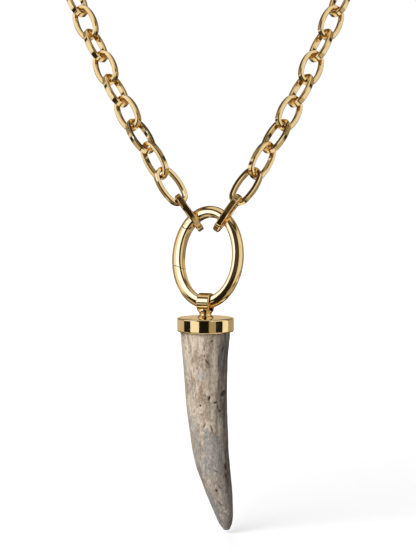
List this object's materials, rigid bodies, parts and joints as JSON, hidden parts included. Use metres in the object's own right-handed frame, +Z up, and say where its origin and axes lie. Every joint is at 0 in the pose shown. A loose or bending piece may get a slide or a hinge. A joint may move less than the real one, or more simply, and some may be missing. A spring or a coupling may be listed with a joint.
{
  "type": "antler pendant necklace",
  "caption": "Antler tip in a plain metal cap, hung by a bail from a hinged oval ring on a neck chain of bevelled oval links.",
  "frame": {"origin": "middle of the chain at the nape of the neck, where the necklace hangs from the wearer", "axes": "+Z up, -Y towards the viewer of the pendant's front, +X to the viewer's right"},
  "size_m": [0.116, 0.1684, 0.2232],
  "materials": {
    "gold": "polished, finely scratched gold plate",
    "antler": "natural antler, streaked and pitted, dull"
  },
  "bodies": {
    "chain": {"link_left_01": "gold", "link_left_02": "gold", "link_left_03": "gold", "link_left_04": "gold", "link_left_05": "gold", "link_left_06": "gold", "link_left_07": "gold", "link_left_08": "gold", "link_left_09": "gold", "link_left_10": "gold", "link_left_11": "gold", "link_left_12": "gold", "link_left_13": "gold", "link_left_14": "gold", "link_left_15": "gold", "link_left_16": "gold", "link_left_17": "gold", "link_left_18": "gold", "link_left_19": "gold", "link_left_20": "gold", "link_right_01": "gold", "link_right_02": "gold", "link_right_03": "gold", "link_right_04": "gold", "link_right_05": "gold", "link_right_06": "gold", "link_right_07": "gold", "link_right_08": "gold", "link_right_09": "gold", "link_right_10": "gold", "link_right_11": "gold", "link_right_12": "gold", "link_right_13": "gold", "link_right_14": "gold", "link_right_15": "gold", "link_right_16": "gold", "link_right_17": "gold", "link_right_18": "gold", "link_right_19": "gold", "link_right_20": "gold", "chain_back_left": "gold", "chain_back_nape": "gold", "chain_back_right": "gold", "ring_body": "gold", "hinge_pin": "gold"},
    "gate": {"ring_gate": "gold"},
    "pendant": {"bail": "gold", "cap": "gold", "antler": "antler"}
  },
  "joints": [
    {"name": "gate_hinge", "type": "hinge", "parent": "chain", "child": "gate", "pos_m": [-0.00541, -0.14795, -0.13329], "axis": [-0.3746, -0.8818, 0.2865], "range_deg": [0, 25], "stiffness_Nm_per_rad": 0.002, "springref_deg": -5.73},
    {"name": "pendant_swing", "type": "hinge", "parent": "chain", "child": "pendant", "pos_m": [-0.00078, -0.157, -0.1551], "axis": [0.9272, -0.3746, 0], "range_deg": [-80, 80]}
  ]
}
